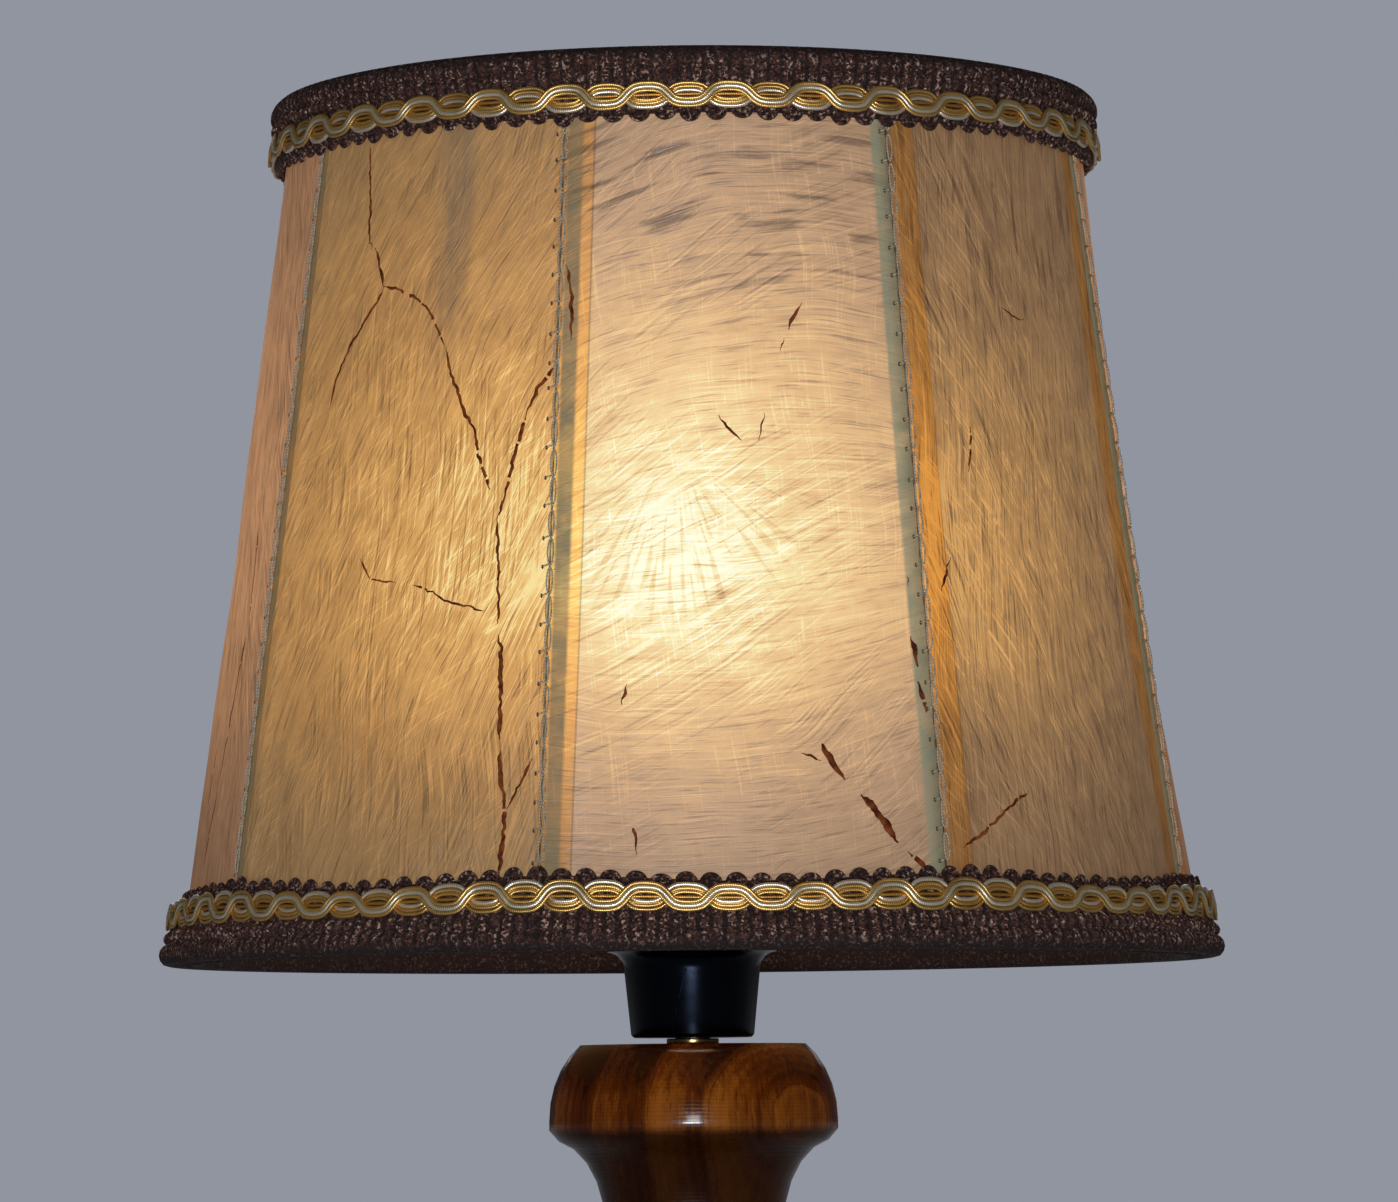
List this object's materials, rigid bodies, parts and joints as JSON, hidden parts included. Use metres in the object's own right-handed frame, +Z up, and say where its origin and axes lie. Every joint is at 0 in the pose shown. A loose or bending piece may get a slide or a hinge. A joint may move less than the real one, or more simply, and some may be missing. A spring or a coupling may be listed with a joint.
{
  "type": "table lamp",
  "caption": "Turned wood column lamp with a switched lampholder, a bulb and a laced hide panel shade with braided rims.",
  "frame": {"origin": "middle of the felt's underside, on the column's axis", "axes": "+Z up along the column, -Y towards the shade's front panel, +X to the right of it"},
  "size_m": [0.305, 0.305, 0.5535],
  "materials": {
    "varnished_wood": "gloss varnish over orange-brown stain",
    "felt": "dark green felt",
    "black_plastic": "moulded, semi-gloss",
    "insulator": "off-white, unglazed",
    "brass": "lacquered brass",
    "steel": "zinc plated steel",
    "bulb_metal": "bright rolled aluminium",
    "painted_wire": "off-white coated wire",
    "pearl_glass": "frosted inside, lit",
    "clear_glass": "clear",
    "hide": "translucent rawhide parchment, satin, veined and scratched",
    "braid": "dark brown woven braid",
    "gold_thread": "shiny rayon cord, old gold",
    "silver_thread": "shiny rayon cord, pale silver",
    "lacing_thread": "twisted lacing thread, grey-green to straw",
    "strut_binding": "cotton tape wound on wire, grey-green"
  },
  "bodies": {
    "stand": {"felt_pad": "felt", "base_disc": "varnished_wood", "cable_bush": "black_plastic", "spindle": "varnished_wood", "threaded_rod": "steel", "bottom_washer": "steel", "bottom_nut": "steel", "brass_ring": "brass", "holder_cap": "black_plastic", "grub_screw": "steel", "switch_body": "black_plastic", "switch_frame": "insulator", "rocker_pin": "steel", "live_contact": "brass", "terminal_insert": "insulator", "terminal_screw_1": "brass", "terminal_screw_2": "brass", "centre_contact": "brass", "side_contact": "brass", "screw_shell": "brass", "holder_sleeve": "black_plastic"},
    "push_bar": {"push_bar": "black_plastic"},
    "rocker": {"rocker_contact": "brass"},
    "bulb": {"bulb_contact": "steel", "bulb_insulator": "black_plastic", "bulb_cap": "bulb_metal", "bulb_glass": "pearl_glass", "bulb_stem": "clear_glass", "filament": "steel"},
    "shade_ring": {"shade_ring": "black_plastic"},
    "shade": {"bottom_ring": "painted_wire", "top_ring": "painted_wire", "strut_1": "painted_wire", "strut_2": "painted_wire", "strut_3": "painted_wire", "strut_4": "painted_wire", "strut_5": "painted_wire", "strut_6": "painted_wire", "strut_7": "painted_wire", "strut_8": "painted_wire", "spider_arm_1": "painted_wire", "spider_arm_2": "painted_wire", "spider_arm_3": "painted_wire", "carrier_ring": "painted_wire", "panel_1": "hide", "panel_2": "hide", "panel_3": "hide", "panel_4": "hide", "panel_5": "hide", "panel_6": "hide", "panel_7": "hide", "panel_8": "hide", "bottom_trim": "braid", "top_trim": "braid"}
  },
  "joints": [
    {"name": "push_bar_slide", "type": "slide", "parent": "stand", "child": "push_bar", "axis": [1, 0, 0], "range_m": [0, 0.006]},
    {"name": "rocker_throw", "type": "hinge", "parent": "stand", "child": "rocker", "pos_m": [0, 0, 0.3145], "axis": [0, 1, 0], "range_deg": [0, 39]},
    {"name": "bulb_turn", "type": "hinge", "parent": "stand", "child": "bulb", "pos_m": [0, 0, 0.36], "axis": [0, 0, 1], "range_deg": [0, 1080]},
    {"name": "shade_ring_turn", "type": "hinge", "parent": "stand", "child": "shade_ring", "pos_m": [0, 0, 0.345], "axis": [0, 0, 1], "range_deg": [0, 720]},
    {"name": "shade_turn", "type": "hinge", "parent": "stand", "child": "shade", "pos_m": [0, 0, 0.34], "axis": [0, 0, 1], "continuous": true}
  ],
  "couplings": [
    {"joint": "rocker_throw", "follows": "push_bar_slide", "rad_per_m": 113.28}
  ]
}
